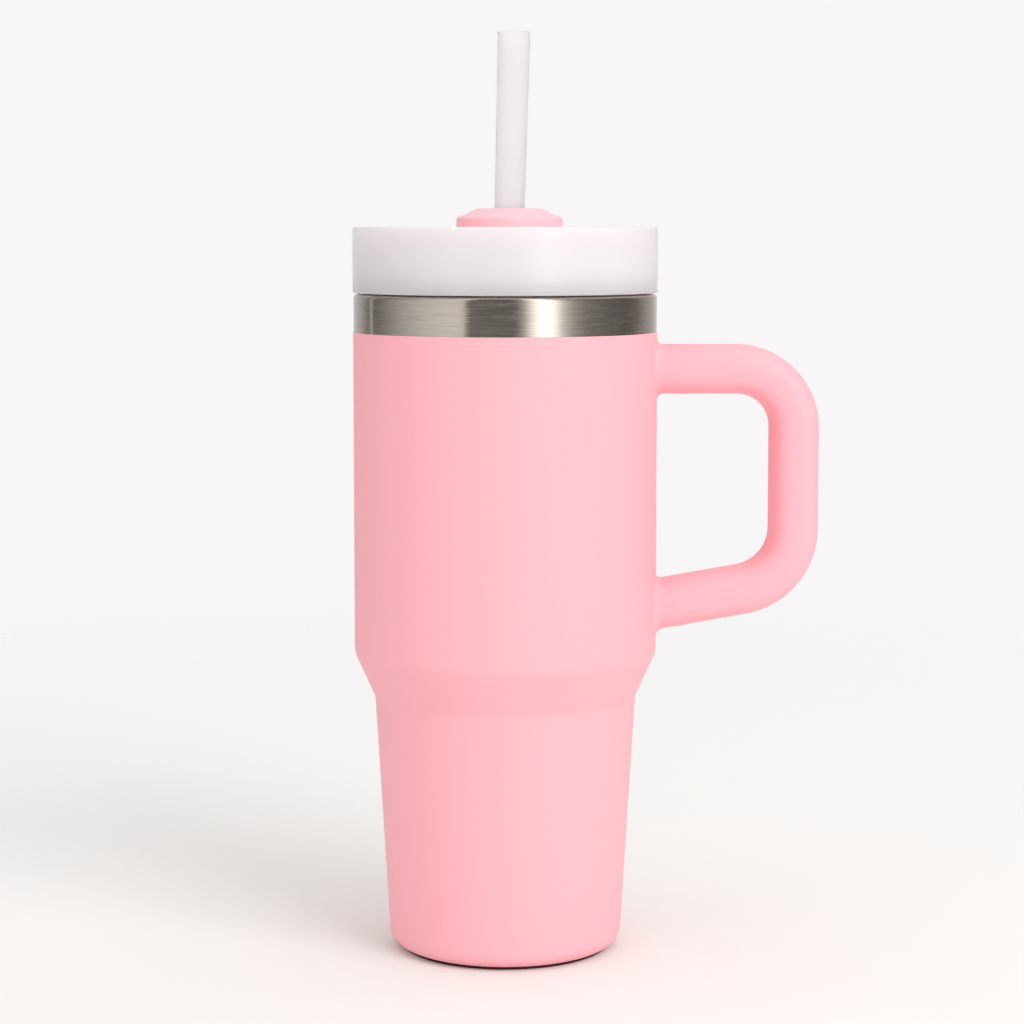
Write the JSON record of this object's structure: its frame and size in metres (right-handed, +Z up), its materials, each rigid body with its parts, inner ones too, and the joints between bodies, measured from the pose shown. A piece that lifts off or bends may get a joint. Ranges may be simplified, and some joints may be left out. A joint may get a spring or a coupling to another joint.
{
  "type": "insulated tumbler with lid",
  "caption": "Tall double-walled steel tumbler with a tapered base, side handle, screw-on frosted lid, rotary sip cover and drinking straw.",
  "frame": {"origin": "centre of the base pad's flat underside, on the cup's axis", "axes": "+Z up along the cup's axis, +X towards the handle, -Y towards the drinker at the sip opening"},
  "size_m": [0.1508, 0.0986, 0.2969],
  "materials": {
    "pink_powder_coat": "matt baked powder coat with a very fine grain",
    "brushed_steel": "18/8 stainless, fine brush lines round the neck",
    "handle_pink": "soft satin moulding",
    "handle_core": "plain glass-filled nylon, unseen",
    "zinc_steel": "zinc plated",
    "base_rubber": "matt silicone rubber",
    "solder_glass": "glass solder bead",
    "getter_metal": "pressed zirconium alloy, matt",
    "frosted_lid": "frosted translucent copolyester with a smooth satin skin",
    "cover_pink": "satin moulding",
    "silicone": "translucent milky silicone",
    "straw_frosted": "frosted translucent polypropylene"
  },
  "bodies": {
    "cup": {"outer_shell": "pink_powder_coat", "inner_liner": "brushed_steel", "steel_rim": "brushed_steel", "outer_base": "brushed_steel", "base_pad": "base_rubber", "vacuum_plug": "solder_glass", "getter": "getter_metal", "handle_grip": "handle_pink", "handle_core": "handle_core", "upper_bracket": "brushed_steel", "lower_bracket": "brushed_steel", "upper_handle_screw": "zinc_steel", "lower_handle_screw": "zinc_steel", "upper_screw_cap": "handle_pink", "lower_screw_cap": "handle_pink"},
    "lid_carrier": {"lid_gasket": "silicone"},
    "lid": {"lid_body": "frosted_lid"},
    "cover": {"rotary_cover": "cover_pink", "sip_seal": "silicone", "cover_retainer": "frosted_lid", "straw_seal": "silicone"},
    "straw": {"straw": "straw_frosted"}
  },
  "joints": [
    {"name": "lid_lift", "type": "slide", "parent": "cup", "child": "lid_carrier", "axis": [0, 0, 1], "range_m": [0, 0.016]},
    {"name": "lid_turn", "type": "hinge", "parent": "lid_carrier", "child": "lid", "pos_m": [0, 0, 0.2136], "axis": [0, 0, 1], "range_deg": [0, 720]},
    {"name": "cover_turn", "type": "hinge", "parent": "lid", "child": "cover", "pos_m": [0.0014, 0, 0.2283], "axis": [0, 0, 1], "range_deg": [0, 90]},
    {"name": "straw_slide", "type": "slide", "parent": "lid", "child": "straw", "axis": [0.0253, 0, 0.9997], "range_m": [-0.005, 0.19]}
  ],
  "couplings": [
    {"joint": "lid_lift", "follows": "lid_turn", "m_per_rad": 0.0012732}
  ]
}
